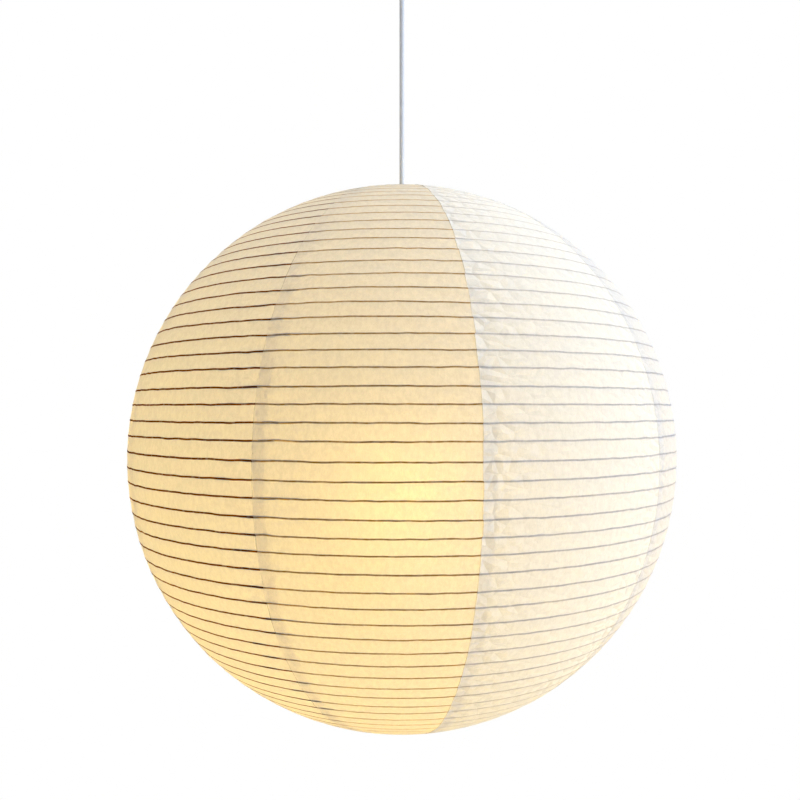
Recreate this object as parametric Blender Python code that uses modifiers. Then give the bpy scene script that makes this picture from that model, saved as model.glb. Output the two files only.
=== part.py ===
"""Paper globe lantern hanging on a ceiling cord, modelled piece by piece. Metres, +Z up.

The origin is the middle of the face that lies on the ceiling, and the lantern hangs below it.
Its front faces -Y. Heights inside the globe are measured from the globe's centre, except on the
lampholder and the bulb, where they are measured from the stretcher's hub.
"""
import math
import random

import bpy

# ---- driving dimensions -------------------------------------------------------------------------
GLOBE_RADIUS = 0.300          # outside of the paper
DROP = 0.610                  # ceiling to the globe's centre
PAPER = 0.0005                # paper, its glue and its lining strips together
GORES = 9                     # pointed strips of paper around the globe
FIRST_SEAM = -115.0           # degrees: where the front strip starts, from +X towards +Y
SEAM_GAP = 0.26               # degrees between neighbouring strips
STRIP_FACETS = 4              # facets across one strip

RING_ANGLE = 11.1             # degrees from the pole to the wire ring of each opening
HOOP_STEPS = 52               # spaces between the hoops, from ring to ring
PITCH_SPREAD = 0.047          # the spaces are this much narrower at the top, wider at the bottom
HAND_ERROR = 0.09             # degrees: how unevenly the hoops are laid by hand
HOOP_WIRE = 0.00075           # radius of a bamboo hoop
RING_WIRE = 0.00125           # radius of the steel wire rings
FRAME_WIRE = 0.00125          # radius of the stretcher's wires
RIM_FACETS = GORES * STRIP_FACETS
RIM_TURN = math.radians(5.0)  # brings the hoops' corners in line with the strips' corners

GAP = 0.0003                  # clearance between pieces that touch
CORD_RADIUS = 0.0027
SWING_HEIGHT = -0.0600        # where the cord bends as the lantern swings

CANOPY_RADIUS = 0.055
CANOPY_HEIGHT = 0.050
CANOPY_WALL = 0.0015
CANOPY_HOLE = 0.0055
BRACKET_WIDTH = 0.020
BRACKET_PLATE = 0.002
EAR_HEIGHT = 0.018
SCREW_HEIGHT = -0.011         # canopy side screws, below the ceiling
SCREW_RADIUS = 0.0015
SLOT_OFFSET = 0.030           # ceiling screw holes in the bracket
SLOT_RADIUS = 0.0024

HUB_HEIGHT = 0.0450           # the stretcher's hub and spokes, above the globe's centre
SPOKE_END = 0.0460
SIDE_WIRE = 0.0480            # the side wires at the spokes
CORD_END = 0.0339             # the flex ends inside the lampholder, above the hub
HOLDER_RADIUS = 0.0195
DOME_RADIUS = 0.030           # the bulb's opal dome
DOME_HEIGHT = -0.0736         # its middle, below the hub
SKIRT_HEIGHT = -0.0620        # the edge where the bulb's skirt meets the dome
CAP_RADIUS = 0.0132           # the bulb's screw cap

WHITE = (0.86, 0.86, 0.84)
STEEL = (0.62, 0.62, 0.60)
BRASS = (0.78, 0.62, 0.32)
PAPER_CREAM = (0.90, 0.84, 0.68)
BAMBOO = (0.30, 0.20, 0.10)


# ---- shared helpers -----------------------------------------------------------------------------
def empty_scene():
    for item in list(bpy.data.objects):
        bpy.data.objects.remove(item, do_unlink=True)


def new_collection(name):
    collection = bpy.data.collections.new(name)
    bpy.context.scene.collection.children.link(collection)
    return collection


def move_to(item, collection):
    for old in list(item.users_collection):
        old.objects.unlink(item)
    collection.objects.link(item)


def finish(item, name, colour, roughness, metallic=0.0, parent=None, smooth=True):
    """Name a piece, give it its own material, and put it in the lantern's collection."""
    item.name = name
    material = bpy.data.materials.new(name)
    material.use_nodes = True
    shader = material.node_tree.nodes["Principled BSDF"]
    shader.inputs["Base Color"].default_value = (*colour, 1.0)
    shader.inputs["Roughness"].default_value = roughness
    shader.inputs["Metallic"].default_value = metallic
    item.data.materials.clear()
    item.data.materials.append(material)
    if smooth and item.type == "MESH":
        item.data.shade_smooth()
        item.data.set_sharp_from_angle(angle=math.radians(35.0))
    item.parent = parent
    move_to(item, LANTERN)
    return item


def pivot(name, position):
    """An empty on a joint's axis. Children keep coordinates measured from it."""
    empty = bpy.data.objects.new(name, None)
    empty.location = position
    empty.empty_display_size = 0.02
    LANTERN.objects.link(empty)
    return empty


def turned(points, steps=24, closed=False, angle=360.0):
    """Turn (radius, height) points about Z. An outer side runs from its top to its bottom."""
    mesh = bpy.data.meshes.new("profile")
    edges = [(i, i + 1) for i in range(len(points) - 1)]
    if closed:
        edges.append((len(points) - 1, 0))
    mesh.from_pydata([(x, 0.0, z) for x, z in points], edges, [])
    item = bpy.data.objects.new("profile", mesh)
    bpy.context.scene.collection.objects.link(item)
    screw = item.modifiers.new("turn", "SCREW")
    screw.axis = "Z"
    screw.angle = math.radians(angle)
    screw.steps = screw.render_steps = steps
    screw.use_merge_vertices = angle == 360.0
    screw.merge_threshold = 0.00005
    return item


def thicken(item, thickness):
    """Give an open skin its thickness, inwards from its outer side."""
    solidify = item.modifiers.new("wall", "SOLIDIFY")
    solidify.thickness = thickness
    solidify.offset = -1.0
    solidify.use_even_offset = True
    return item


def box(size, centre):
    bpy.ops.mesh.primitive_cube_add(size=1.0, location=centre)
    item = bpy.context.object
    for vertex in item.data.vertices:
        vertex.co = [c * s for c, s in zip(vertex.co, size)]
    return item


def rod(radius, length, centre, axis="Z", facets=16):
    turn = {"X": (0.0, math.pi / 2, 0.0), "Y": (math.pi / 2, 0.0, 0.0), "Z": (0.0, 0.0, 0.0)}[axis]
    bpy.ops.mesh.primitive_cylinder_add(vertices=facets, radius=radius, depth=length,
                                        location=centre, rotation=turn)
    return bpy.context.object


def ring(radius, height, wire, sides):
    bpy.ops.mesh.primitive_torus_add(major_segments=RIM_FACETS, minor_segments=sides,
                                     major_radius=radius, minor_radius=wire,
                                     location=(0.0, 0.0, height), rotation=(0.0, 0.0, RIM_TURN))
    return bpy.context.object


def wire(points, radius):
    """A round wire through the points, with filled ends."""
    curve = bpy.data.curves.new("wire", "CURVE")
    curve.dimensions = "3D"
    curve.bevel_depth = radius
    curve.bevel_resolution = 2
    curve.use_fill_caps = True
    spline = curve.splines.new("POLY")
    spline.points.add(len(points) - 1)
    for target, point in zip(spline.points, points):
        target.co = (*point, 1.0)
    return bpy.data.objects.new("wire", curve)


def cut(item, cutter, operation="DIFFERENCE"):
    boolean = item.modifiers.new(operation.lower(), "BOOLEAN")
    boolean.operation = operation
    boolean.object = cutter
    cutter.hide_render = True
    cutter.display_type = "WIRE"
    cutter.name = "cutter_" + operation.lower()
    move_to(cutter, CUTTERS)


def smooth_path(points, spacing):
    """Points at an even spacing along a Catmull-Rom curve through the given ones."""
    ends = [points[0]] + points + [points[-1]]
    path = [points[0]]
    for a, b, c, d in zip(ends, ends[1:], ends[2:], ends[3:]):
        pieces = max(1, round(math.dist(b, c) / spacing))
        for step in range(1, pieces + 1):
            t = step / pieces
            path.append(tuple(
                0.5 * (2 * q + (r - p) * t + (2 * p - 5 * q + 4 * r - s) * t ** 2
                       + (3 * q - p - 3 * r + s) * t ** 3)
                for p, q, r, s in zip(a, b, c, d)))
    return path


# ---- ceiling fitting ----------------------------------------------------------------------------
def ceiling_bracket():
    reach = CANOPY_RADIUS - CANOPY_WALL - 2 * GAP
    strap = box((2 * reach, BRACKET_WIDTH, BRACKET_PLATE), (0.0, 0.0, -BRACKET_PLATE / 2))
    # the strap's corners clear the round canopy, and its ears stand inside them
    ear_place = math.sqrt(reach ** 2 - (BRACKET_WIDTH / 2) ** 2) - BRACKET_PLATE / 2 - GAP
    for vertex in strap.data.vertices:
        vertex.co.x = math.copysign(ear_place + BRACKET_PLATE / 2, vertex.co.x)
    for side in (-1, 1):
        ear = box((BRACKET_PLATE, BRACKET_WIDTH, EAR_HEIGHT),
                  (side * ear_place, 0.0, -EAR_HEIGHT / 2 - BRACKET_PLATE / 2))
        cut(strap, ear, "UNION")
    for side in (-1, 1):
        cut(strap, rod(SLOT_RADIUS, 4 * BRACKET_PLATE, (side * SLOT_OFFSET, 0.0, 0.0)))
        cut(strap, rod(SCREW_RADIUS + GAP, 4 * BRACKET_PLATE, (side * ear_place, 0.0, SCREW_HEIGHT), "X"))
    return finish(strap, "ceiling_bracket", STEEL, 0.35, 1.0, smooth=False)


def canopy():
    corner = 0.012
    bottom = -CANOPY_HEIGHT
    arc = [(CANOPY_RADIUS - corner + corner * math.cos(a), bottom + corner - corner * math.sin(a))
           for a in (math.radians(30.0 * k) for k in range(4))]
    cup = turned([(CANOPY_RADIUS, 0.0)] + arc + [(CANOPY_HOLE, bottom)], steps=28)
    thicken(cup, CANOPY_WALL)
    for side in (-1, 1):
        hole = rod(SCREW_RADIUS + GAP, 0.012, (side * CANOPY_RADIUS, 0.0, SCREW_HEIGHT), "X")
        cut(cup, hole)
    return finish(cup, "canopy", WHITE, 0.30)


def canopy_screw(side, name):
    """A knurled thumb screw, head outside the canopy and shank through its wall and the ear."""
    head_radius, head, shank = 0.0036, 0.0045, 0.0095
    outline = [(0.0, head), (head_radius - 0.0008, head), (head_radius, head - 0.0008),
               (head_radius, 0.0), (SCREW_RADIUS, 0.0), (SCREW_RADIUS, -shank), (0.0, -shank)]
    screw = turned(outline, steps=12)
    screw.location = (side * (CANOPY_RADIUS + GAP), 0.0, SCREW_HEIGHT)
    screw.rotation_euler = (0.0, side * math.pi / 2, 0.0)
    return finish(screw, name, STEEL, 0.30, 1.0)


def terminal_block():
    top = -BRACKET_PLATE - GAP
    block = box((0.034, 0.015, 0.013), (0.0, 0.0, top - 0.0065))
    for place in (-0.011, 0.0, 0.011):
        cut(block, rod(0.0022, 0.008, (place, 0.0, top - 0.013), facets=12))
    return finish(block, "terminal_block", WHITE, 0.45, smooth=False)


def cord_grip():
    """A screwed nipple through the canopy's hole. Its mouth flares, so that the cord can swing."""
    under = -CANOPY_HEIGHT - GAP
    bore, flare = CORD_RADIUS + GAP + 0.0001, 0.0054
    outline = [(0.0050, under + 0.0085), (0.0050, under), (0.0095, under), (0.0095, under - 0.004),
               (0.0072, -0.068), (flare, -0.068), (bore, SWING_HEIGHT), (bore, under + 0.0085)]
    return finish(turned(outline, closed=True), "cord_grip", WHITE, 0.40)


def grip_nut():
    low = -CANOPY_HEIGHT + CANOPY_WALL + GAP
    outline = [(0.0090, low + 0.004), (0.0090, low), (0.0050 + GAP, low), (0.0050 + GAP, low + 0.004)]
    return finish(turned(outline, steps=12, closed=True), "grip_nut", STEEL, 0.40, 1.0, smooth=False)


def supply_tail():
    top = -BRACKET_PLATE - 0.013 - 3 * GAP
    low = SWING_HEIGHT + 0.0012
    item = wire(smooth_path([(0.0, 0.0, low), (0.0, 0.0, (low + top) / 2), (0.0, 0.0, top)], 0.008),
                CORD_RADIUS)
    return finish(item, "supply_tail", WHITE, 0.50)


# ---- cord and lampholder, on the swinging pendant -----------------------------------------------
def flex_cord(parent, exit_height):
    low, high = exit_height, 0.0
    route = [(0.0, 0.0, low + (high - low) * k / 6) for k in range(7)]
    item = wire(smooth_path(route, 0.016), CORD_RADIUS)
    return finish(item, "flex_cord", WHITE, 0.50, parent=parent)


def holder_piece(outline, name, colour, roughness, parent, metallic=0.0, wall=None):
    """A turned piece of the lampholder or the bulb, its heights measured from the hub."""
    piece = turned(outline, closed=wall is None)
    if wall:
        thicken(piece, wall)
    return finish(piece, name, colour, roughness, metallic, parent)


def lampholder(parent):
    bore = CORD_RADIUS + GAP
    holder_piece([(0.0042, 0.0684), (0.0065, 0.0444), (0.0065, 0.0417), (bore, 0.0417), (bore, 0.0684)],
                 "strain_relief", WHITE, 0.55, parent)
    holder_piece([(bore, 0.0414), (0.0085, 0.0414), (0.0165, 0.0374), (0.0205, 0.0294), (0.0215, 0.0179)],
                 "lampholder_cap", WHITE, 0.40, parent, wall=0.0020)
    outer, inner = HOLDER_RADIUS, 0.0170
    holder_piece([(0.0190, 0.0224), (0.0190, 0.0176), (0.0230, 0.0176), (0.0230, 0.0019),
                  (outer, 0.0019), (outer, -0.0296), (inner, -0.0296), (inner, 0.0224)],
                 "lampholder_body", WHITE, 0.40, parent)
    holder_piece([(0.0165, 0.0179), (0.0165, 0.0099), (0.0060, 0.0099), (0.0060, 0.0072),
                  (0.0020, 0.0072), (0.0020, 0.0179)],
                 "contact_block", WHITE, 0.60, parent)
    holder_piece([(0.0150, 0.0064), (0.0150, -0.0266), (0.0141, -0.0266), (0.0141, 0.0064)],
                 "screw_shell", BRASS, 0.30, parent, metallic=1.0)


def shade_ring(parent):
    inner = HOLDER_RADIUS + GAP
    outline = [(0.0235, -0.0016), (0.0255, -0.0031), (0.0255, -0.0101), (0.0235, -0.0116),
               (inner, -0.0116), (inner, -0.0016)]
    return holder_piece(outline, "shade_ring", WHITE, 0.40, parent)


def bulb(parent):
    """A screw cap, an opaque skirt that hides the driver, and an opal dome that glows."""
    holder_piece([(0.0, 0.0044), (0.0042, 0.0044), (0.0052, 0.0014), (CAP_RADIUS - 0.0025, -0.0011),
                  (CAP_RADIUS, -0.0036), (CAP_RADIUS, -0.0271), (0.0, -0.0271)],
                 "bulb_cap", STEEL, 0.30, parent, metallic=1.0)
    rim = math.sqrt(DOME_RADIUS ** 2 - (SKIRT_HEIGHT - DOME_HEIGHT) ** 2)
    holder_piece([(0.0, -0.0274), (0.0132, -0.0274), (0.0152, -0.0335), (0.0225, -0.0475),
                  (rim, SKIRT_HEIGHT)],
                 "bulb_skirt", WHITE, 0.45, parent, wall=0.0014)
    start = math.acos((SKIRT_HEIGHT - GAP - DOME_HEIGHT) / DOME_RADIUS)
    dome = [(DOME_RADIUS * math.sin(a), DOME_HEIGHT + DOME_RADIUS * math.cos(a))
            for a in (start + (math.pi - start) * k / 7 for k in range(7))]
    holder_piece(dome + [(0.0, DOME_HEIGHT - DOME_RADIUS)], "bulb_dome", (0.95, 0.90, 0.75), 0.15,
                 parent, wall=0.0012)


# ---- stretcher, the wire frame that holds the globe open ----------------------------------------
def stretcher_hub(parent):
    """A flat ring clamped under the lampholder's shoulder, with a spoke to each side."""
    inner, outer = HOLDER_RADIUS + GAP, 0.0240
    low, high = -0.0012, 0.0012
    hub = turned([(outer, high), (outer, low), (inner, low), (inner, high)], closed=True)
    for side in (-1, 1):
        start = outer - 0.0015
        spoke = rod(0.0009, SPOKE_END - start, (side * (start + SPOKE_END) / 2, 0.0, 0.0), "X", 8)
        move_to(spoke, CUTTERS)
        spoke.parent = parent
        cut(hub, spoke, "UNION")
    return finish(hub, "stretcher_hub", STEEL, 0.35, 1.0, parent)


def ring_place(pole):
    """Radius and height of a wire ring's centre line, for pole 1 above or -1 below."""
    inside = GLOBE_RADIUS - PAPER - GAP - RING_WIRE
    angle = math.radians(RING_ANGLE)
    return inside * math.sin(angle), pole * inside * math.cos(angle)


def side_wire(side, pole, name, parent, origin=(0.0, 0.0)):
    """A wire from a spoke to a ring: up to the top ring's underside, or down onto the bottom ring."""
    radius, height = ring_place(pole)
    cradle = height - pole * (RING_WIRE + FRAME_WIRE + GAP)
    start = HUB_HEIGHT + pole * (0.0006 + GAP)
    bend = 0.0055
    points = [(SIDE_WIRE, start), (SIDE_WIRE + 0.0006, start + pole * 0.012)]
    points += [(radius - 0.0085, cradle - pole * 2 * bend), (radius - 0.0078, cradle - pole * bend),
               (radius - 0.0055, cradle - pole * 0.0012), (radius - 0.0025, cradle),
               (radius + 0.0060, cradle)]
    route = [(side * x - origin[0], 0.0, z - origin[1]) for x, z in points]
    return finish(wire(route, FRAME_WIRE), name, STEEL, 0.35, 1.0, parent)


# ---- shade --------------------------------------------------------------------------------------
def polar_angle(step, rng=None):
    """Angle from the upper pole to a hoop, in degrees. Steps 0 and HOOP_STEPS are the wire rings."""
    share = step / HOOP_STEPS
    span = 180.0 - 2 * RING_ANGLE
    even = RING_ANGLE + span * (share - PITCH_SPREAD * share * (1.0 - share))
    return even + (rng.uniform(-1.0, 1.0) * HAND_ERROR if rng else 0.0)


def hoop_angles():
    """The hoops modelled here are every second one of the globe's."""
    rng = random.Random(3)
    return {step: polar_angle(step, rng) for step in range(2, HOOP_STEPS, 2)}


def paper_gores(parent, angles):
    rows = [RING_ANGLE] + list(angles.values()) + [180.0 - RING_ANGLE]
    outline = [(GLOBE_RADIUS * math.sin(a), GLOBE_RADIUS * math.cos(a)) for a in map(math.radians, rows)]
    width = 360.0 / GORES
    for number in range(GORES):
        strip = turned(outline, steps=STRIP_FACETS, angle=width - SEAM_GAP)
        thicken(strip, PAPER)
        strip.rotation_euler.z = math.radians(FIRST_SEAM + number * width + SEAM_GAP / 2)
        finish(strip, "paper_gore_%d" % (number + 1), PAPER_CREAM, 0.85, parent=parent)


def hoops(parent, angles):
    inside = GLOBE_RADIUS - PAPER - GAP - HOOP_WIRE
    for step, degrees in angles.items():
        angle = math.radians(degrees)
        hoop = ring(inside * math.sin(angle), inside * math.cos(angle), HOOP_WIRE, 4)
        finish(hoop, "hoop_%02d" % step, BAMBOO, 0.60, parent=parent)


def wire_ring(pole, name, parent):
    radius, height = ring_place(pole)
    return finish(ring(radius, height, RING_WIRE, 6), name, STEEL, 0.35, 1.0, parent)


# ---- build --------------------------------------------------------------------------------------
empty_scene()
LANTERN = new_collection("paper_lantern")
CUTTERS = new_collection("cutters")

ceiling_bracket()
canopy()
canopy_screw(-1, "canopy_screw_left")
canopy_screw(1, "canopy_screw_right")
terminal_block()
cord_grip()
grip_nut()
supply_tail()

swing = pivot("swing_pivot", (0.0, 0.0, SWING_HEIGHT))
centre = pivot("globe_centre", (0.0, 0.0, -DROP - SWING_HEIGHT))
centre.parent = swing
hub = pivot("stretcher_middle", (0.0, 0.0, HUB_HEIGHT))
hub.parent = centre
flex_cord(swing, -DROP - SWING_HEIGHT + HUB_HEIGHT + CORD_END)
lampholder(hub)
shade_ring(hub)
bulb(hub)
stretcher_hub(hub)
for side, word in ((-1, "left"), (1, "right")):
    side_wire(side, 1, "upper_arm_" + word, centre)
    hinge = pivot("leg_pivot_" + word, (side * SIDE_WIRE, 0.0, HUB_HEIGHT))
    hinge.parent = centre
    side_wire(side, -1, "lower_leg_" + word, hinge, (side * SIDE_WIRE, HUB_HEIGHT))
laid = hoop_angles()
paper_gores(centre, laid)
hoops(centre, laid)
wire_ring(1, "top_ring", centre)
wire_ring(-1, "bottom_ring", centre)
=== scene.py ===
"""Looks of the paper lantern: washi strips over bamboo hoops, lit by its own bulb and by daylight
from the right. Metres, +Z up. The lantern's front faces -Y."""
import math
import random

import bpy
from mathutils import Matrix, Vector, noise


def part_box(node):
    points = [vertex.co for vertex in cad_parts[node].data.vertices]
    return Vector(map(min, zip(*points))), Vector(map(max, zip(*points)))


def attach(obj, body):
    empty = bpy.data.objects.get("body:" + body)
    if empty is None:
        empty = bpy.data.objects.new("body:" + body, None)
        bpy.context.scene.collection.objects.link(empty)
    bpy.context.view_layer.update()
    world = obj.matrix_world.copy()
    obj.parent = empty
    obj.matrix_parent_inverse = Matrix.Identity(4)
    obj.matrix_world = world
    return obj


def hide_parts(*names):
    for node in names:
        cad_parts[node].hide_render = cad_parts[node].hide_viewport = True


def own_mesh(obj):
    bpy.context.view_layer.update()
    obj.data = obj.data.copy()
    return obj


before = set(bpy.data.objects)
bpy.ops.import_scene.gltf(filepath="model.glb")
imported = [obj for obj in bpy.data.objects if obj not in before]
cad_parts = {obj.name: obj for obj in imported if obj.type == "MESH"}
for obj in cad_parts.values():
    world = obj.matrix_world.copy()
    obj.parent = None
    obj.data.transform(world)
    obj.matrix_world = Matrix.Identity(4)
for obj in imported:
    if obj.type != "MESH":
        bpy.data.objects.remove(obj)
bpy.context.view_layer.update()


# ---- places taken from the frame ----------------------------------------------------------------
def middle_height(node):
    low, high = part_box(node)
    return (low.z + high.z) / 2


TOP_Z = middle_height("top_ring")
BOTTOM_Z = middle_height("bottom_ring")
CENTRE_Z = (TOP_Z + BOTTOM_Z) / 2
HUB_Z = middle_height("stretcher_hub")
CORD_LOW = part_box("flex_cord")[0].z       # the flex ends inside the lampholder
SWING_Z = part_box("flex_cord")[1].z        # and leaves the ceiling grip here
CANOPY_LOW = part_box("canopy")[0].z
CANOPY_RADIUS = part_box("canopy")[1].x

GLOBE = 0.300                             # outside of the paper
PAPER_AT = GLOBE - 0.0002                 # the paper skin itself
HOOP_AT = GLOBE - 0.00155                 # middle of a hoop
HOOP_WIDE, HOOP_DEEP = 0.00125, 0.00105
HOOP_STEPS = 52                           # bands of paper from the top ring to the bottom ring
HOOP_STRAY = math.radians(0.16)           # how far a hoop without a node lies off midway
RING_ANGLE = math.radians(11.1)
CAD_HOOPS = range(2, HOOP_STEPS, 2)       # hoops with a node of their own
GORES = 9
FIRST_SEAM = math.radians(-115.0)
SEAM = 2 * math.pi / GORES
SEAM_SHIFT = {1: math.radians(-2.0)}      # the strip right of the front one is laid a little early
OVERLAP = 0.0120                          # a strip's margin under the next strip
UNDER = 0.00025                           # how deep the margin lies
CORD_RADIUS = 0.0027


def hoop_angles():
    """Polar angles of the two wire rings and all hoops. A hoop without a node lies about midway."""
    known = {0: RING_ANGLE, HOOP_STEPS: math.pi - RING_ANGLE}
    for step in CAD_HOOPS:
        known[step] = math.acos((middle_height("hoop_%02d" % step) - CENTRE_Z) / HOOP_AT)
    uneven = random.Random(11)
    for step in range(1, HOOP_STEPS, 2):
        drift = uneven.uniform(-1.0, 1.0) * HOOP_STRAY
        known[step] = (known[step - 1] + known[step + 1]) / 2 + drift
    return [known[step] for step in range(HOOP_STEPS + 1)]


ANGLES = hoop_angles()


# ---- mesh helpers -------------------------------------------------------------------------------
def new_object(name, verts, faces, material, smooth=True):
    mesh = bpy.data.meshes.new(name)
    mesh.from_pydata([tuple(v) for v in verts], [], [tuple(f) for f in faces])
    mesh.validate()
    if smooth:
        mesh.shade_smooth()
    item = bpy.data.objects.new(name, mesh)
    bpy.context.scene.collection.objects.link(item)
    mesh.materials.append(material)
    return item


def grid_faces(rows, columns, wrap=False):
    """Quads of a grid of rows x columns points, joined round if wrap."""
    faces = []
    for r in range(rows - 1):
        for c in range(columns if wrap else columns - 1):
            d = (c + 1) % columns
            faces.append((r * columns + c, (r + 1) * columns + c, (r + 1) * columns + d, r * columns + d))
    return faces


def lathe(name, profile, material, segments=72, closed=False, ribs=0, sharp=40.0):
    """Turn (radius, height, rib depth) points about the vertical axis, downwards along the outside.

    A point's rib depth is how deep the grooves between the ribs are cut there."""
    profile = [point if len(point) == 3 else (*point, 0.0) for point in profile]
    verts, rows = [], []
    for radius, height, depth in profile:
        if radius < 1e-7:
            rows.append([len(verts)])
            verts.append((0.0, 0.0, height))
            continue
        rows.append(range(len(verts), len(verts) + segments))
        for k in range(segments):
            a = 2 * math.pi * k / segments
            groove = depth * (0.5 - 0.5 * math.cos(a * ribs)) if ribs else 0.0
            verts.append(((radius - groove) * math.cos(a), (radius - groove) * math.sin(a), height))
    if closed:
        rows.append(rows[0])
    faces = []
    for upper, lower in zip(rows, rows[1:]):
        for k in range(segments):
            m = (k + 1) % segments
            if len(upper) == 1:
                faces.append((upper[0], lower[k], lower[m]))
            elif len(lower) == 1:
                faces.append((upper[k], lower[0], upper[m]))
            else:
                faces.append((upper[k], lower[k], lower[m], upper[m]))
    item = new_object(name, verts, faces, material)
    item.data.set_sharp_from_angle(angle=math.radians(sharp))
    return item


def rounded(points, radius, steps=4):
    """Round the inner corners of an open (radius, height) line with short curves."""
    out = [tuple(points[0])]
    for a, b, c in zip(points, points[1:], points[2:]):
        a, b, c = Vector(a), Vector(b), Vector(c)
        cut = min(radius, (a - b).length * 0.45, (c - b).length * 0.45)
        start, end = b + (a - b).normalized() * cut, b + (c - b).normalized() * cut
        for k in range(steps + 1):
            t = k / steps
            out.append(tuple(start * (1 - t) ** 2 + b * 2 * t * (1 - t) + end * t ** 2))
    return out + [tuple(points[-1])]


def thread(radius, top, bottom, pitch, depth, per_crest=6):
    """Points down a threaded side, its crests pitch apart."""
    count = max(2, round((top - bottom) / pitch * per_crest))
    return [(radius - depth * (0.5 - 0.5 * math.cos(2 * math.pi * (top - z) / pitch)), z)
            for z in (top + (bottom - top) * k / count for k in range(count + 1))]


def at_hub(points):
    """Heights measured from the stretcher's hub, as world heights."""
    return [(p[0], HUB_Z + p[1], *p[2:]) for p in points]


def stand_in(item, body, slot, *nodes):
    """The piece rides on a body and replaces CAD nodes. The slot is not used."""
    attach(item, body)
    if nodes:
        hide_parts(*nodes)
    return item


def wire(name, points, radius, material, sides=4):
    """A round wire along the points, with filled ends."""
    curve = bpy.data.curves.new(name, "CURVE")
    curve.dimensions = "3D"
    curve.bevel_depth = radius
    curve.bevel_resolution = sides
    curve.use_fill_caps = True
    spline = curve.splines.new("POLY")
    spline.points.add(len(points) - 1)
    for target, point in zip(spline.points, points):
        target.co = (*point, 1.0)
    spline.use_smooth = True
    item = bpy.data.objects.new(name, curve)
    bpy.context.scene.collection.objects.link(item)
    curve.materials.append(material)
    return item


# ---- materials ----------------------------------------------------------------------------------
def new_material(name):
    material = bpy.data.materials.new(name)
    material.use_nodes = True
    tree = material.node_tree
    return material, tree, tree.nodes["Principled BSDF"]


def feed(tree, socket, value):
    """Give a socket another node's output, a plain number or a plain colour."""
    if isinstance(value, bpy.types.NodeSocket):
        tree.links.new(value, socket)
    elif isinstance(value, float):
        socket.default_value = value
    else:
        socket.default_value = (*value, 1.0)


def noise_node(tree, vector, scale, detail=3.0, roughness=0.55, distortion=0.0):
    node = tree.nodes.new("ShaderNodeTexNoise")
    node.inputs["Scale"].default_value = scale
    node.inputs["Detail"].default_value = detail
    node.inputs["Roughness"].default_value = roughness
    node.inputs["Distortion"].default_value = distortion
    tree.links.new(vector, node.inputs["Vector"])
    return node.outputs["Fac"]


def ramp(tree, value, stops):
    node = tree.nodes.new("ShaderNodeValToRGB")
    elements = node.color_ramp.elements
    while len(elements) < len(stops):
        elements.new(0.5)
    for element, (place, colour) in zip(elements, stops):
        element.position = place
        element.color = (*colour, 1.0)
    tree.links.new(value, node.inputs["Fac"])
    return node.outputs["Color"]


def stretched(tree, stretch=(1.0, 1.0, 1.0), shift=(0.0, 0.0, 0.0), lean=0.0):
    """Object coordinates, stretched, shifted and leaned over about Y."""
    place = tree.nodes.new("ShaderNodeTexCoord")
    mapping = tree.nodes.new("ShaderNodeMapping")
    mapping.inputs["Scale"].default_value = stretch
    mapping.inputs["Location"].default_value = shift
    mapping.inputs["Rotation"].default_value = (0.0, lean, 0.0)
    tree.links.new(place.outputs["Object"], mapping.inputs["Vector"])
    return mapping.outputs["Vector"]


def maths(tree, operation, first, second):
    node = tree.nodes.new("ShaderNodeMath")
    node.operation = operation
    for socket, value in zip(node.inputs, (first, second)):
        feed(tree, socket, value)
    return node.outputs[0]


def blended(tree, share, first, second, way="MIX"):
    """Blend of two colours."""
    node = tree.nodes.new("ShaderNodeMix")
    node.data_type = "RGBA"
    node.blend_type = way
    feed(tree, node.inputs["Factor"], share)
    feed(tree, node.inputs[6], first)
    feed(tree, node.inputs[7], second)
    return node.outputs[2]


def mixed(tree, share, first, second):
    """Mix of two shaders."""
    node = tree.nodes.new("ShaderNodeMixShader")
    for socket, value in zip(node.inputs, (share, first, second)):
        feed(tree, socket, value)
    return node.outputs[0]


def painted(tree, name):
    """A value painted on the points of the mesh."""
    node = tree.nodes.new("ShaderNodeAttribute")
    node.attribute_name = name
    return node.outputs["Fac"]


def bumped(tree, height, strength, distance):
    node = tree.nodes.new("ShaderNodeBump")
    node.inputs["Strength"].default_value = strength
    node.inputs["Distance"].default_value = distance
    tree.links.new(height, node.inputs["Height"])
    return node.outputs["Normal"]


# The kinds of paper, by where a strip hangs. Light passes in the colour through and is thrown back in
# the colour back, and thin is the share that passes. Two dark colours, with their strength and how far
# they reach beside the hoop, paint a line along each hoop: painted shade for the hoop's shadow, darkest
# on the backlit strips. creased is for the creases near the seams, and lift is how far the left edge
# stands up.
PAPER_LEFT = {"through": (0.94, 0.88, 0.74), "back": (0.86, 0.85, 0.82), "thin": 0.50,
              "hoop_shadow_colours": ((0.34, 0.10, 0.005), (0.17, 0.045, 0.002)), "hoop_shadow_strength": 1.25, "hoop_shadow_reach": 1.0,
              "creased": 0.4, "lift": 0.0001}
PAPER_FRONT = {**PAPER_LEFT, "hoop_shadow_colours": ((0.60, 0.34, 0.04), (0.42, 0.20, 0.015)), "hoop_shadow_strength": 1.15,
               "hoop_shadow_reach": 0.50}
PAPER_RIGHT = {"through": (0.93, 0.90, 0.80), "back": (0.94, 0.94, 0.93), "thin": 0.36,
               "hoop_shadow_colours": ((0.22, 0.08, 0.01), (0.10, 0.035, 0.004)), "hoop_shadow_strength": 0.36, "hoop_shadow_reach": 0.6,
               "creased": 1.3, "lift": 0.0006}
# The strip at the right limb gets darker, cooler paper colours: painted shade for the light falling off
# towards the limb.
PAPER_SIDE_SHADED = {**PAPER_RIGHT, "through": (0.84, 0.81, 0.75), "back": (0.83, 0.85, 0.89), "thin": 0.42,
              "lift": 0.0001}
FORWARD = 0.040                           # share of the passing light that keeps its direction
MARGIN_CLEAR = 0.42                       # how clear the paste makes the margin under the next strip
FACETS, FACET_LEAN = 58.0, 0.8            # flat facets of creased paper per metre, and their lean
RELIEF, PULP_RELIEF = 0.0031, 0.03        # height of the creases, and the pulp's share of it


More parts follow.
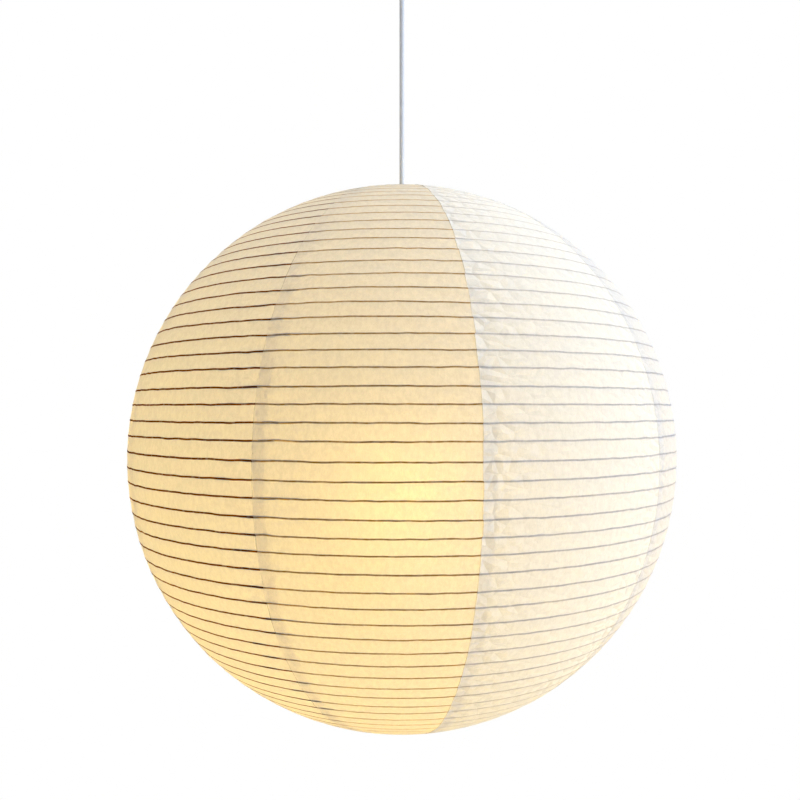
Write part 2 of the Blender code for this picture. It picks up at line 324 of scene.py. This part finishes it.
def paper_colours(tree, kind, pulp, shift):
    """Colours of the light that passes and of the light that is thrown back, both darkened along each
    hoop by a painted hoop shadow.
    """
    # Painted shade: a patchy dark line along each hoop stands in for the hoop's shadow.
    hoop_shadow_patches = maths(tree, "ADD", noise_node(tree, stretched(tree, shift=shift), 190.0, 2.0), 0.35)
    hoop_shadow_strength = maths(tree, "MULTIPLY", maths(tree, "MULTIPLY", painted(tree, "hoop_shadow"), hoop_shadow_patches), kind["hoop_shadow_strength"])
    hoop_shadow_strength = maths(tree, "MINIMUM", hoop_shadow_strength, 1.0)
    through = ramp(tree, pulp, [(0.42, [c * 0.87 for c in kind["through"]]), (0.58, kind["through"])])
    back = ramp(tree, pulp, [(0.38, [c * 0.96 for c in kind["back"]]), (0.62, kind["back"])])
    through_hoop_shadow, back_hoop_shadow = kind["hoop_shadow_colours"]
    return blended(tree, hoop_shadow_strength, through, through_hoop_shadow), blended(tree, hoop_shadow_strength, back, back_hoop_shadow)


def paper_relief(tree, pulp, shift):
    """Flat facets parted by creases where the paper is loose, and the pulp's own roughness."""
    facets = tree.nodes.new("ShaderNodeTexVoronoi")
    facets.feature = "DISTANCE_TO_EDGE"
    facets.inputs["Scale"].default_value = FACETS
    tree.links.new(stretched(tree, (1.0, 1.0, 1.7), shift, FACET_LEAN), facets.inputs["Vector"])
    crease = maths(tree, "MULTIPLY", facets.outputs["Distance"], painted(tree, "loose"))
    relief = maths(tree, "ADD", maths(tree, "MULTIPLY", pulp, PULP_RELIEF), crease)
    return bumped(tree, relief, 1.0, RELIEF)


def paper_material(name, kind, seed):
    """Thin washi: cloudy pulp with long fibres. Light passes through it, less so along each hoop, where
    a painted shadow of the hoop darkens the paper, and easily in the pasted margin of a strip."""
    material, tree, shader = new_material(name)
    tree.nodes.remove(shader)
    links = tree.links
    shift = (seed * 0.73, seed * 1.31, seed * 0.37)
    cloud = noise_node(tree, stretched(tree, (1.0, 1.0, 0.7), shift), 260.0, 3.0, 0.60)
    fibre = noise_node(tree, stretched(tree, (1.0, 1.0, 0.35), shift), 620.0, 4.0, 0.65, 1.6)
    pulp = maths(tree, "ADD", maths(tree, "MULTIPLY", cloud, 0.5), maths(tree, "MULTIPLY", fibre, 0.5))
    through, back = paper_colours(tree, kind, pulp, shift)
    diffuse = tree.nodes.new("ShaderNodeBsdfDiffuse")
    links.new(back, diffuse.inputs["Color"])
    links.new(paper_relief(tree, pulp, shift), diffuse.inputs["Normal"])
    glow = tree.nodes.new("ShaderNodeBsdfTranslucent")
    links.new(through, glow.inputs["Color"])
    forward = tree.nodes.new("ShaderNodeBsdfRefraction")
    forward.inputs["Roughness"].default_value = 0.85
    forward.inputs["IOR"].default_value = 1.45
    links.new(through, forward.inputs["Color"])
    speckle = noise_node(tree, stretched(tree, shift=shift), 430.0, 1.0)
    grain = ramp(tree, speckle, [(0.38, [FORWARD * 0.3] * 3), (0.62, [FORWARD * 1.8] * 3)])
    passed = mixed(tree, grain, glow.outputs[0], forward.outputs[0])
    whole = mixed(tree, kind["thin"], diffuse.outputs[0], passed)
    clear = tree.nodes.new("ShaderNodeBsdfTransparent")
    paste = maths(tree, "MULTIPLY", maths(tree, "ADD", cloud, 0.5), MARGIN_CLEAR)
    margin = maths(tree, "MULTIPLY", painted(tree, "margin"), paste)
    links.new(mixed(tree, margin, whole, clear.outputs[0]), tree.nodes["Material Output"].inputs["Surface"])
    return material


def bamboo_material():
    """Split bamboo: long streaks around the hoop, darker at the nodes of the cane."""
    material, tree, shader = new_material("split_bamboo")
    grain = noise_node(tree, stretched(tree, (1.0, 1.0, 6.0)), 130.0, 4.0, 0.6, 0.4)
    joints = noise_node(tree, stretched(tree), 9.0, 1.0)
    tone = ramp(tree, grain, [(0.30, (0.060, 0.032, 0.012)), (0.55, (0.135, 0.078, 0.032)),
                              (0.78, (0.260, 0.165, 0.080))])
    dark = ramp(tree, joints, [(0.30, (0.55, 0.50, 0.45)), (0.42, (1.0, 1.0, 1.0))])
    tree.links.new(blended(tree, 1.0, tone, dark, "MULTIPLY"), shader.inputs["Base Color"])
    shader.inputs["Roughness"].default_value = 0.62
    tree.links.new(bumped(tree, grain, 0.3, 0.0002), shader.inputs["Normal"])
    return material


def plastic_material(name, colour, roughness, grain=900.0, dust=0.05, soft=0.0):
    """Moulded plastic: a fine skin, faint dust and scuffs. Light spreads inside it as far as soft."""
    material, tree, shader = new_material(name)
    fine = noise_node(tree, stretched(tree), grain, 2.0)
    broad = noise_node(tree, stretched(tree), 45.0, 4.0, 0.6)
    tone = ramp(tree, broad, [(0.35, [c * (1.0 - dust) for c in colour]), (0.65, colour)])
    rough = ramp(tree, broad, [(0.35, [roughness * 1.2] * 3), (0.65, [roughness * 0.9] * 3)])
    tree.links.new(tone, shader.inputs["Base Color"])
    tree.links.new(rough, shader.inputs["Roughness"])
    tree.links.new(bumped(tree, fine, 0.15, 0.0001), shader.inputs["Normal"])
    if soft:
        shader.inputs["Subsurface Weight"].default_value = 1.0
        shader.inputs["Subsurface Radius"].default_value = (1.0, 1.0, 1.0)
        shader.inputs["Subsurface Scale"].default_value = soft
    return material


def metal_material(name, colour, roughness):
    """Plated metal: faint spangle in its colour and roughness."""
    material, tree, shader = new_material(name)
    spangle = noise_node(tree, stretched(tree), 260.0, 3.0, 0.6)
    tone = ramp(tree, spangle, [(0.3, [c * 0.82 for c in colour]), (0.7, colour)])
    rough = ramp(tree, spangle, [(0.3, [roughness * 0.8] * 3), (0.7, [roughness * 1.25] * 3)])
    tree.links.new(tone, shader.inputs["Base Color"])
    tree.links.new(rough, shader.inputs["Roughness"])
    shader.inputs["Metallic"].default_value = 1.0
    tree.links.new(bumped(tree, spangle, 0.08, 0.0001), shader.inputs["Normal"])
    return material


BULB_LIGHT = (1.0, 0.65, 0.070)
BULB_POWER = 119.0
TIP_DIMMED = 0.70                         # the tip's brightness beside the waist's


def dome_material():
    """Opal dome, lit from inside: brightest round its waist, a little less at its tip."""
    material, tree, shader = new_material("opal_dome")
    low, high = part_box("bulb_dome")
    place = tree.nodes.new("ShaderNodeSeparateXYZ")
    tree.links.new(stretched(tree), place.inputs[0])
    height = tree.nodes.new("ShaderNodeMapRange")
    height.inputs["From Min"].default_value = low.z
    height.inputs["From Max"].default_value = high.z
    tree.links.new(place.outputs["Z"], height.inputs["Value"])
    tone = ramp(tree, height.outputs["Result"], [(0.0, [c * TIP_DIMMED for c in BULB_LIGHT]),
                                                 (0.6, BULB_LIGHT)])
    shader.inputs["Base Color"].default_value = (0.92, 0.90, 0.86, 1.0)
    shader.inputs["Roughness"].default_value = 0.25
    tree.links.new(tone, shader.inputs["Emission Color"])
    shader.inputs["Emission Strength"].default_value = BULB_POWER
    return material


# ---- camera and cord ----------------------------------------------------------------------------
def camera():
    """Level, a little above the globe's middle, three and a half radii away."""
    away, above = 3.5 * GLOBE, 0.1794 * GLOBE
    data = bpy.data.cameras.new("camera")
    item = bpy.data.objects.new("camera", data)
    bpy.context.scene.collection.objects.link(item)
    item.location = (0.0, -away, CENTRE_Z + above)
    item.rotation_euler = (math.pi / 2, 0.0, 0.0)
    data.sensor_width = 36.0
    data.lens = 41.52
    data.shift_x = -0.0023
    data.shift_y = 0.0100
    bpy.context.scene.camera = item


def flex_cord(material):
    """The flex between the ceiling grip and the lampholder: the hanging lantern keeps it straight."""
    runs = 24
    route = [(0.0, 0.0, CORD_LOW + (SWING_Z - CORD_LOW) * k / runs) for k in range(runs + 1)]
    item = wire("flex", route, CORD_RADIUS, material, sides=8)
    return stand_in(item, "pendant", "flex_sheath", "flex_cord")


# ---- light --------------------------------------------------------------------------------------
def area_light(name, place, size, power, colour):
    """A light that faces the globe's middle, from a place given from there."""
    data = bpy.data.lights.new(name, "AREA")
    data.shape = "RECTANGLE"
    data.size, data.size_y = size
    data.energy = power
    data.color = colour
    item = bpy.data.objects.new(name, data)
    item.location = (place[0], place[1], CENTRE_Z + place[2])
    item.rotation_euler = (-Vector(place)).to_track_quat("-Z", "Y").to_euler()
    bpy.context.scene.collection.objects.link(item)


def seen_white(tree, lit, white_node):
    """Plain white where the camera looks straight at it, and only lit for everything else."""
    white = tree.nodes.new(white_node)
    white.inputs["Color"].default_value = (1.0, 1.0, 1.0, 1.0)
    path = tree.nodes.new("ShaderNodeLightPath")
    return mixed(tree, path.outputs["Is Camera Ray"], lit, white.outputs[0])


def studio():
    """A white room: soft light all round, a window to the right, a skylight, a pale floor."""
    room_light, window_light, sky_light = 0.56, 53.0, 32.0
    scene = bpy.context.scene
    scene.view_settings.view_transform = "Standard"
    scene.world = bpy.data.worlds.new("room")
    scene.world.use_nodes = True
    tree = scene.world.node_tree
    room = tree.nodes["Background"]
    room.inputs["Color"].default_value = (0.98, 0.99, 1.0, 1.0)
    room.inputs["Strength"].default_value = room_light
    ground = seen_white(tree, room.outputs[0], "ShaderNodeBackground")
    tree.links.new(ground, tree.nodes["World Output"].inputs["Surface"])
    area_light("window", (2.35, -0.60, 0.34), (1.8, 1.8), window_light, (0.62, 0.78, 1.0))
    area_light("skylight", (0.4, 0.25, 2.2), (1.6, 1.6), sky_light, (0.84, 0.91, 1.0))
    material, tree, shader = new_material("floor")
    shader.inputs["Base Color"].default_value = (0.60, 0.60, 0.60, 1.0)
    shader.inputs["Roughness"].default_value = 0.9
    paint = seen_white(tree, shader.outputs[0], "ShaderNodeEmission")
    tree.links.new(paint, tree.nodes["Material Output"].inputs["Surface"])
    size, level = 40.0, CENTRE_Z - 1.35    # the floor lies this far below the globe's middle
    corners = [(-size, -size, level), (size, -size, level), (size, size, level), (-size, size, level)]
    new_object("floor", corners, [(0, 1, 2, 3)], material, smooth=False)


# ---- shade --------------------------------------------------------------------------------------
def sphere_point(radius, polar, turn):
    """A point at a polar angle and a turn, seen from the globe's middle."""
    s = math.sin(polar)
    return (radius * s * math.cos(turn), radius * s * math.sin(turn),
            CENTRE_Z + radius * math.cos(polar))


def hoop_wave(step, turn):
    """How far a hoop strays along the meridian, in radians of polar angle."""
    if step in (0, HOOP_STEPS):
        return 0.0
    x, y = math.cos(turn), math.sin(turn)
    return (0.0022 * noise.noise((2.2 * x, 2.2 * y, step * 3.7))
            + 0.0020 * noise.noise((24.0 * x, 24.0 * y, step * 1.9)))


HOOP_SECTION = [(-0.55, 1.0), (0.55, 1.0), (1.0, 0.0), (0.55, -1.0), (-0.55, -1.0), (-1.0, 0.0)]
HOOP_INSIDE = 0.00012                     # from a hoop's face to the paper skin


def hoop(step, material):
    """A split of bamboo bent round, its ends laid side by side where they are glued."""
    rng = random.Random(100 + step)
    girth = GLOBE * math.sin(ANGLES[step])
    join = math.radians(-118.0 + rng.uniform(-5.0, 5.0))    # the glued ends lie by the first seam
    lap, ease = 0.016, 0.034              # the ends lie side by side, then each eases back into line
    beside = HOOP_WIDE * 0.52 / GLOBE     # moved over by half a width each
    pace, unevenness = 0.0050, 0.55       # between two sections, and how the split's width varies
    length = 2 * math.pi * girth + lap
    count = round(length / pace)
    verts = []
    for k in range(count):
        along = length * k / (count - 1)
        turn = join + along / girth
        aside = min(max((lap + ease - min(along, length - along)) / ease, 0.0), 1.0)
        sidestep = math.copysign(beside, along - length / 2) * aside
        polar = ANGLES[step] + hoop_wave(step, turn) + sidestep
        rough = noise.noise((20.0 * math.cos(turn), 20.0 * math.sin(turn), step * 5.1))
        wide, deep = HOOP_WIDE * (1.0 + unevenness * rough) / 2, HOOP_DEEP / 2
        middle = PAPER_AT - HOOP_INSIDE - deep
        verts += [sphere_point(middle + v * deep, polar + u * wide / GLOBE, turn) for u, v in HOOP_SECTION]
    sides = len(HOOP_SECTION)
    faces = grid_faces(count, sides, wrap=True)
    faces += [tuple(range(sides)), tuple(range(count * sides - 1, (count - 1) * sides - 1, -1))]
    item = new_object("hoop_%02d_bamboo" % step, verts, faces, material)
    if step in CAD_HOOPS:
        stand_in(item, "hoop_%02d" % step, "bamboo", "hoop_%02d" % step)
    else:
        stand_in(item, "pendant", "bamboo")
        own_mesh(item)


BAND_ROWS = (0.0, 0.040, 0.066, 0.22, 0.41, 0.60, 0.79, 0.934, 0.960)
HOOP_SHADOW_SHARE = 0.05                              # share of a band, on each side of a hoop, that gets the painted hoop shadow
COLUMNS = 54                              # across a strip, almost up to the next one's edge
ALMOST = 0.0004                           # what is left to that edge
MARGIN = (0.0, 0.0012, 0.006, OVERLAP)    # and from that edge on, under it
DIPPED = 0.0008                           # where the margin has gone fully under
EDGE_STRAY = 0.0011                       # how far an edge strays from its seam
CURL = 0.0025                             # how far the edge's lift reaches
CROWDING = 0.09                           # how much denser the columns are at the seams
CREASED_LEFT, CREASED_RIGHT = 0.045, 0.060    # how far creases reach from a strip's two seams
DENTED_LEFT, DENTED_RIGHT = 0.030, 0.018      # and how far its dents and folds reach
SAG, SLACK, DENT, FOLD = 0.00034, 0.00025, 0.00035, 0.00070    # depths of the paper's unevenness
BAND_ANGLE = 0.053                        # about the polar angle between two hoops


def seam_turn(number):
    """Where a strip's left edge lies on its neighbour, as a turn about the axis."""
    return FIRST_SEAM + number * SEAM + SEAM_SHIFT.get(number % GORES, 0.0)


def ridge(spot):
    """Sharp little folds: 1 along their crests, 0 away from them."""
    return max(0.0, 1.0 - 3.2 * abs(noise.noise(spot))) ** 2


def paper_radius(step, share, turn, from_seam):
    """The paper sags a little between hoops. It is dented and folded where it was glued at its
    seams, more so on the strip that lies on top."""
    belly = math.sin(math.pi * share)
    if from_seam >= 0.0:
        near = math.exp(-from_seam / DENTED_LEFT)
    else:
        near = 0.5 * math.exp(from_seam / DENTED_RIGHT)
    s = math.sin(ANGLES[step])
    x, y, down = s * math.cos(turn), s * math.sin(turn), (step + share) * BAND_ANGLE
    slack = SLACK * noise.noise((4.0 * x, 4.0 * y, step * 1.7))
    dent = DENT * noise.noise((22.0 * x, 22.0 * y, 26.0 * down))
    fold = ridge((17.0 * x + 11.0 * down, 17.0 * y + 11.0 * down, 14.0 * down - 6.0 * x))
    return PAPER_AT - belly * (SAG + slack + dent * (0.5 + near) - FOLD * fold * near)


def row_turns(number, step, girth):
    """Turns of the points across a strip, and of its left edge and the next strip's."""
    left, edge = (seam_turn(n) + EDGE_STRAY * noise.noise((n * 5.3, step * 0.9, 0.5)) / girth
                  for n in (number, number + 1))
    last = edge - ALMOST / girth
    even = [c / (COLUMNS - 1) for c in range(COLUMNS)]
    crowded = [f - CROWDING * math.sin(2 * math.pi * f) for f in even]
    return [left + (last - left) * f for f in crowded] + [edge + d / girth for d in MARGIN], left, edge


def gore_points(number, kind):
    """Points of a strip in rows, and at each point how much painted hoop shadow it gets, whether it is in
    the margin and how loose it is."""
    rows = [(step, share) for step in range(HOOP_STEPS) for share in BAND_ROWS] + [(HOOP_STEPS, 0.0)]
    verts, hoop_shadow, margin, loose = [], [], [], []
    for step, share in rows:
        girth = PAPER_AT * math.sin(ANGLES[step])
        turns, left, edge = row_turns(number, step, girth)
        # Painted shade along the hoops: the hoop's shadow, full on its row and partly just beside it.
        beside = kind["hoop_shadow_reach"] if min(share, 1.0 - share) < HOOP_SHADOW_SHARE else 0.0
        curl = kind["lift"] * (0.6 + noise.noise((number, step + share, 3.3)))
        for turn in turns:
            upper = lower = ANGLES[step] + hoop_wave(step, turn)
            if share:
                lower = ANGLES[step + 1] + hoop_wave(step + 1, turn)
            past_left, past_edge = (turn - left) * girth, (turn - edge) * girth
            from_seam = past_left if past_left < -past_edge else past_edge
            lift = max(curl * math.exp(-past_left / CURL), 0.0)
            under = UNDER * min(1.0, max(0.0, past_edge / DIPPED))
            radius = paper_radius(step, share, turn, from_seam) + lift - under
            verts.append(sphere_point(radius, upper + (lower - upper) * share, turn))
            hoop_shadow.append(1.0 if share == 0.0 else beside)
            margin.append(1.0 if past_edge > -ALMOST / 2 else 0.0)
            near_left = math.exp(-max(past_left, 0.0) / CREASED_LEFT)
            near_right = 1.1 * math.exp(min(past_edge, 0.0) / CREASED_RIGHT)
            loose.append((near_left + near_right) * kind["creased"])
    return verts, {"hoop_shadow": hoop_shadow, "margin": margin, "loose": loose}


def paper_gore(number, kind):
    """One pointed strip of paper, stretched from hoop to hoop. Its left edge lies on its neighbour."""
    verts, values_by_name = gore_points(number, kind)
    across = COLUMNS + len(MARGIN)
    item = new_object("gore_%d_paper" % (number + 1), verts, grid_faces(len(verts) // across, across),
                      paper_material("washi_%d" % (number + 1), kind, number))
    for name, values in values_by_name.items():
        item.data.attributes.new(name, "FLOAT", "POINT").data.foreach_set("value", values)
    stand_in(item, "pendant", "washi_paper", "paper_gore_%d" % (number + 1))
    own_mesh(item)


def hem(name, node, body, material):
    """Paper folded over a wire ring and glued, slightly lumpy."""
    low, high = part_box(node)
    wire_radius, wide, tall = 0.00125, 0.00160, 0.00155
    ring_radius, height = (high.x - low.x) / 2 - wire_radius, middle_height(node)
    verts, around, sides = [], 220, 12
    for k in range(around):
        a = 2 * math.pi * k / around
        lump = 1.0 + 0.10 * noise.noise((9.0 * math.cos(a), 9.0 * math.sin(a), height * 10.0))
        for j in range(sides):
            b = 2 * math.pi * j / sides
            r = ring_radius + wide * lump * math.cos(b)
            verts.append((r * math.cos(a), r * math.sin(a), height + tall * lump * math.sin(b)))
    faces = [(k * sides + j, (k + 1) % around * sides + j, (k + 1) % around * sides + (j + 1) % sides,
              k * sides + (j + 1) % sides) for k in range(around) for j in range(sides)]
    return stand_in(new_object(name, verts, faces, material), body, "washi_paper", node)


def shade():
    """Hoops, paper strips counted from the front one to the right, and the two hems."""
    bamboo = bamboo_material()
    for step in range(1, HOOP_STEPS):
        hoop(step, bamboo)
    kinds = {0: PAPER_FRONT, 1: PAPER_RIGHT, 2: PAPER_SIDE_SHADED}
    for number in range(GORES):
        paper_gore(number, kinds.get(number, PAPER_LEFT))
    folded = plastic_material("folded_washi", (0.84, 0.80, 0.71), 0.9, grain=400.0, dust=0.12)
    hem("top_hem", "top_ring", "pendant", folded)
    hem("bottom_hem", "bottom_ring", "bottom_ring", folded)


# ---- lampholder and bulb ------------------------------------------------------------------------
def lampholder(white):
    """The boot round the flex, the cap, the threaded body and the ribbed collar that clamps the hub."""
    bore = CORD_RADIUS + 0.0003
    relief = [(bore, 0.0684), (0.0040, 0.0684)]
    for k in range(6):                    # a tapered boot with six grooves
        z, r = 0.0655 - 0.0038 * k, 0.0044 + 0.00035 * k
        relief += [(r, z), (r, z - 0.0022), (r - 0.0007, z - 0.0026), (r - 0.0007, z - 0.0034)]
    relief += [(0.0064, 0.0425), (0.0060, 0.0417), (bore, 0.0417)]
    stand_in(lathe("strain_relief_boot", at_hub(relief), white, closed=True), "pendant", "flex_sheath",
             "strain_relief")
    outer = rounded([(bore, 0.0414), (0.0085, 0.0414), (0.0165, 0.0374), (0.0205, 0.0294),
                     (0.0215, 0.0179)], 0.0030)
    inner = [(0.0195, 0.0179), (0.0186, 0.0285), (0.0153, 0.0355), (bore, 0.0390)]
    stand_in(lathe("lampholder_cap_moulded", at_hub(outer + inner), white, closed=True), "pendant",
             "white_plastic", "lampholder_cap")
    skirt = [(0.0190, 0.0224), (0.0190, 0.0176), (0.0226, 0.0176, 0.0), (0.0230, 0.0172, 0.0006),
             (0.0230, 0.0060, 0.0006), (0.0226, 0.0050, 0.0), (0.0230, 0.0040), (0.0230, 0.0019)]
    barrel = thread(0.0195, 0.0019, -0.0285, 0.0025, 0.0006) + [(0.0190, -0.0296), (0.0170, -0.0296),
                                                                (0.0170, 0.0224)]
    stand_in(lathe("lampholder_body_moulded", at_hub(skirt + barrel), white, segments=144, closed=True,
                   ribs=36), "pendant", "white_plastic", "lampholder_body")
    ring = [(0.0198, -0.0016), (0.0236, -0.0016, 0.0), (0.0252, -0.0026, 0.0007), (0.0255, -0.0036, 0.0009),
            (0.0255, -0.0096, 0.0009), (0.0252, -0.0106, 0.0007), (0.0236, -0.0116, 0.0),
            (0.0198, -0.0116)]
    stand_in(lathe("shade_ring_ribbed", at_hub(ring), white, segments=192, closed=True, ribs=32),
             "shade_ring", "white_plastic", "shade_ring")


def bulb(white):
    """A milky dome under a moulded skirt, and the threaded cap above it."""
    low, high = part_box("bulb_dome")
    radius = (high.x - low.x) / 2
    middle = low.z + radius
    start, rings = math.acos((high.z - middle) / radius), 26
    arc = [(radius * math.sin(a), middle + radius * math.cos(a))
           for a in (start + (math.pi - start) * k / rings for k in range(rings))]
    dome = lathe("bulb_dome_opal", arc + [(0.0, low.z)], dome_material())
    stand_in(dome, "bulb", "opal_diffuser", "bulb_dome")
    skirt_low, skirt_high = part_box("bulb_skirt")
    rim, edge = skirt_high.x, skirt_low.z - HUB_Z
    outer = rounded([(0.0100, -0.0274), (0.0132, -0.0274), (0.0152, -0.0335), (0.0225, -0.0475),
                     (rim - 0.0006, edge + 0.0035), (rim, edge)], 0.0040)
    shell = outer + [(rim - 0.0014, edge), (0.0211, -0.0480), (0.0100, -0.0330)]
    stand_in(lathe("bulb_skirt_moulded", at_hub(shell), white, closed=True), "bulb", "white_plastic",
             "bulb_skirt")
    cap = [(0.0, 0.0044), (0.0040, 0.0044), (0.0046, 0.0036), (0.0052, 0.0014), (0.0105, -0.0011)]
    cap += thread(0.0132, -0.0036, -0.0250, 0.0036, 0.0011) + [(0.0130, -0.0271), (0.0, -0.0271)]
    stand_in(lathe("bulb_cap_threaded", at_hub(cap), metal_material("cap_alloy", (0.80, 0.80, 0.79), 0.30)),
             "bulb", "bulb_metal", "bulb_cap")


# ---- ceiling fitting ----------------------------------------------------------------------------
def ceiling_fitting(white, steel):
    """The canopy, the ribbed grip under it and two thumb screws in its sides."""
    radius, low, wall, corner = CANOPY_RADIUS, CANOPY_LOW, 0.0015, 0.012
    outer = rounded([(radius, 0.0), (radius, low), (0.0062, low)], corner * 1.6, 10)
    inner = rounded([(0.0055, low + 0.0007), (0.0055, low + wall), (radius - wall, low + wall),
                     (radius - wall, 0.0)], corner * 1.3, 10)
    coat = plastic_material("powder_coat", (0.80, 0.80, 0.78), 0.42, grain=1400.0, dust=0.04)
    stand_in(lathe("canopy_spun", outer + inner, coat, segments=96, closed=True), "ceiling_fitting",
             "white_metal", "canopy")
    grip_low, grip_top = (corner.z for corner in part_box("cord_grip"))
    under = low - 0.0003
    bore, flare = CORD_RADIUS + 0.0004, 0.0054
    grip = [(0.0050, grip_top), (0.0050, under), (0.0088, under), (0.0095, under - 0.0007, 0.0006),
            (0.0095, under - 0.0040, 0.0006), (0.0084, grip_low + 0.0075, 0.0004),
            (0.0073, grip_low + 0.0012), (0.0068, grip_low), (flare, grip_low), (bore, SWING_Z),
            (bore, grip_top)]
    stand_in(lathe("cord_grip_moulded", grip, white, segments=96, closed=True, ribs=16), "ceiling_fitting",
             "white_plastic", "cord_grip")
    for side, word in ((-1, "left"), (1, "right")):
        outline = [(0.0, 0.0045), (0.0026, 0.0045), (0.0036, 0.0038, 0.0004), (0.0036, 0.0006, 0.0004),
                   (0.0030, 0.0), (0.0015, 0.0)] + thread(0.0015, -0.0004, -0.0088, 0.0007, 0.0002)
        screw = lathe("canopy_thumb_screw_" + word, outline + [(0.0, -0.0095)], steel, segments=48, ribs=16)
        turn = Vector((side, 0.0, 0.0)).to_track_quat("Z", "Y").to_matrix().to_4x4()
        turn.translation = (side * (radius + 0.0003), 0.0, middle_height("canopy_screw_" + word))
        screw.data.transform(turn)
        stand_in(screw, "ceiling_fitting", "steel", "canopy_screw_" + word)


# ---- build --------------------------------------------------------------------------------------
camera()
SHEATH = plastic_material("flex_sheath_pvc", (0.74, 0.74, 0.75), 0.45, grain=1200.0, dust=0.06, soft=0.003)
FLEX = flex_cord(SHEATH)
studio()
shade()
WHITE = plastic_material("moulded_white", (0.80, 0.80, 0.78), 0.36)
STEEL = metal_material("zinc_plate", (0.62, 0.62, 0.60), 0.32)
lampholder(WHITE)
bulb(WHITE)
ceiling_fitting(WHITE, STEEL)

KEPT = {STEEL: ["stretcher_hub", "upper_arm_left", "upper_arm_right", "lower_leg_left",
                "lower_leg_right", "ceiling_bracket", "grip_nut"],
        SHEATH: ["supply_tail"],
        plastic_material("terminal_white", (0.78, 0.77, 0.72), 0.50): ["terminal_block"],
        plastic_material("steatite", (0.72, 0.69, 0.62), 0.75, grain=500.0): ["contact_block"],
        metal_material("brass_shell", (0.78, 0.58, 0.28), 0.28): ["screw_shell"]}
for kept_material, nodes in KEPT.items():
    for node in nodes:
        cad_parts[node].data.materials.clear()
        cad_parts[node].data.materials.append(kept_material)
